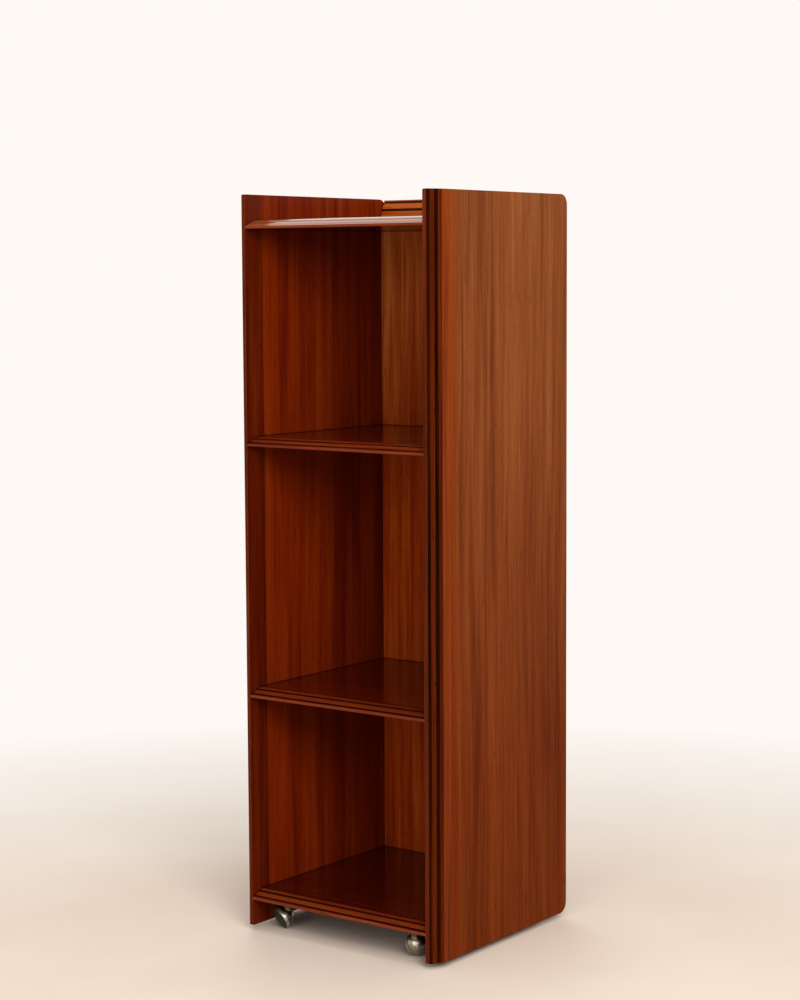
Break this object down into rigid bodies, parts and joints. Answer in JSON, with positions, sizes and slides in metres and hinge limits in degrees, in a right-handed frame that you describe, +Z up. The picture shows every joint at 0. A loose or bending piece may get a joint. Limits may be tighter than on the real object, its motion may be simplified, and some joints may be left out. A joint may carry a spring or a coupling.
{
  "type": "shelving unit",
  "caption": "Tall narrow open shelving unit with moulded lippings, a closed back and ball castors under the bottom shelf.",
  "frame": {"origin": "on the floor, under the middle of the unit's width and depth", "axes": "+Z up, the open front faces -Y, +X to the right seen from the front"},
  "size_m": [0.409, 0.39, 1.259],
  "materials": {
    "side_wood": "glossy lacquered red-brown veneer, straight upright grain",
    "shelf_wood": "glossy lacquered dark red-brown veneer",
    "back_wood": "glossy lacquered red-brown veneer, straight upright grain",
    "lipping_wood": "lacquered solid hardwood moulding, worn pale on its arrises",
    "dowel_wood": "plain beech",
    "screw_steel": "plain bright steel",
    "castor_steel": "satin pressed steel",
    "castor_nickel": "satin nickel, lightly worn",
    "washer_nylon": "natural nylon",
    "wheel_dark": "dark gunmetal coloured, semi-gloss",
    "wheel_rim": "worn metal tread"
  },
  "bodies": {
    "case": {"side_panel_left": "side_wood", "side_lipping_left": "lipping_wood", "side_panel_right": "side_wood", "side_lipping_right": "lipping_wood", "bottom_shelf": "shelf_wood", "bottom_shelf_lipping": "lipping_wood", "bottom_shelf_dowels": "dowel_wood", "lower_shelf": "shelf_wood", "lower_shelf_lipping": "lipping_wood", "lower_shelf_dowels": "dowel_wood", "upper_shelf": "shelf_wood", "upper_shelf_lipping": "lipping_wood", "upper_shelf_dowels": "dowel_wood", "top_shelf": "shelf_wood", "top_shelf_lipping": "lipping_wood", "top_shelf_dowels": "dowel_wood", "back_panel": "back_wood", "back_lipping": "lipping_wood", "back_dowels": "dowel_wood", "back_screws": "screw_steel", "castor_screws": "screw_steel", "castor_plate_front_left": "castor_steel", "castor_plate_front_right": "castor_steel", "castor_plate_rear_left": "castor_steel", "castor_plate_rear_right": "castor_steel"},
    "swivel_front_left": {"castor_hood_front_left": "castor_nickel", "castor_stem_front_left": "castor_steel", "castor_axle_front_left": "castor_steel", "castor_washer_front_left": "washer_nylon"},
    "wheel_front_left": {"castor_wheel_front_left": "wheel_dark", "castor_tread_front_left": "wheel_rim"},
    "swivel_front_right": {"castor_hood_front_right": "castor_nickel", "castor_stem_front_right": "castor_steel", "castor_axle_front_right": "castor_steel", "castor_washer_front_right": "washer_nylon"},
    "wheel_front_right": {"castor_wheel_front_right": "wheel_dark", "castor_tread_front_right": "wheel_rim"},
    "swivel_rear_left": {"castor_hood_rear_left": "castor_nickel", "castor_stem_rear_left": "castor_steel", "castor_axle_rear_left": "castor_steel", "castor_washer_rear_left": "washer_nylon"},
    "wheel_rear_left": {"castor_wheel_rear_left": "wheel_dark", "castor_tread_rear_left": "wheel_rim"},
    "swivel_rear_right": {"castor_hood_rear_right": "castor_nickel", "castor_stem_rear_right": "castor_steel", "castor_axle_rear_right": "castor_steel", "castor_washer_rear_right": "washer_nylon"},
    "wheel_rear_right": {"castor_wheel_rear_right": "wheel_dark", "castor_tread_rear_right": "wheel_rim"}
  },
  "joints": [
    {"name": "swivel_front_left", "type": "hinge", "parent": "case", "child": "swivel_front_left", "pos_m": [-0.1435, -0.15, 0.046], "axis": [0, 0, 1], "continuous": true},
    {"name": "roll_front_left", "type": "hinge", "parent": "swivel_front_left", "child": "wheel_front_left", "pos_m": [-0.15179, -0.1523, 0.01989], "axis": [-0.3074, -0.8446, -0.4384], "continuous": true},
    {"name": "swivel_front_right", "type": "hinge", "parent": "case", "child": "swivel_front_right", "pos_m": [0.1315, -0.15, 0.046], "axis": [0, 0, 1], "continuous": true},
    {"name": "roll_front_right", "type": "hinge", "parent": "swivel_front_right", "child": "wheel_front_right", "pos_m": [0.12779, -0.14224, 0.01989], "axis": [-0.8851, 0.1561, -0.4384], "continuous": true},
    {"name": "swivel_rear_left", "type": "hinge", "parent": "case", "child": "swivel_rear_left", "pos_m": [-0.1435, 0.15, 0.046], "axis": [0, 0, 1], "continuous": true},
    {"name": "roll_rear_left", "type": "hinge", "parent": "swivel_rear_left", "child": "wheel_rear_left", "pos_m": [-0.15099, 0.15423, 0.01989], "axis": [-0.8146, -0.3798, -0.4384], "continuous": true},
    {"name": "swivel_rear_right", "type": "hinge", "parent": "case", "child": "swivel_rear_right", "pos_m": [0.1315, 0.15, 0.046], "axis": [0, 0, 1], "continuous": true},
    {"name": "roll_rear_right", "type": "hinge", "parent": "swivel_rear_right", "child": "wheel_rear_right", "pos_m": [0.13785, 0.14419, 0.01989], "axis": [0.8792, 0.1869, -0.4384], "continuous": true}
  ]
}
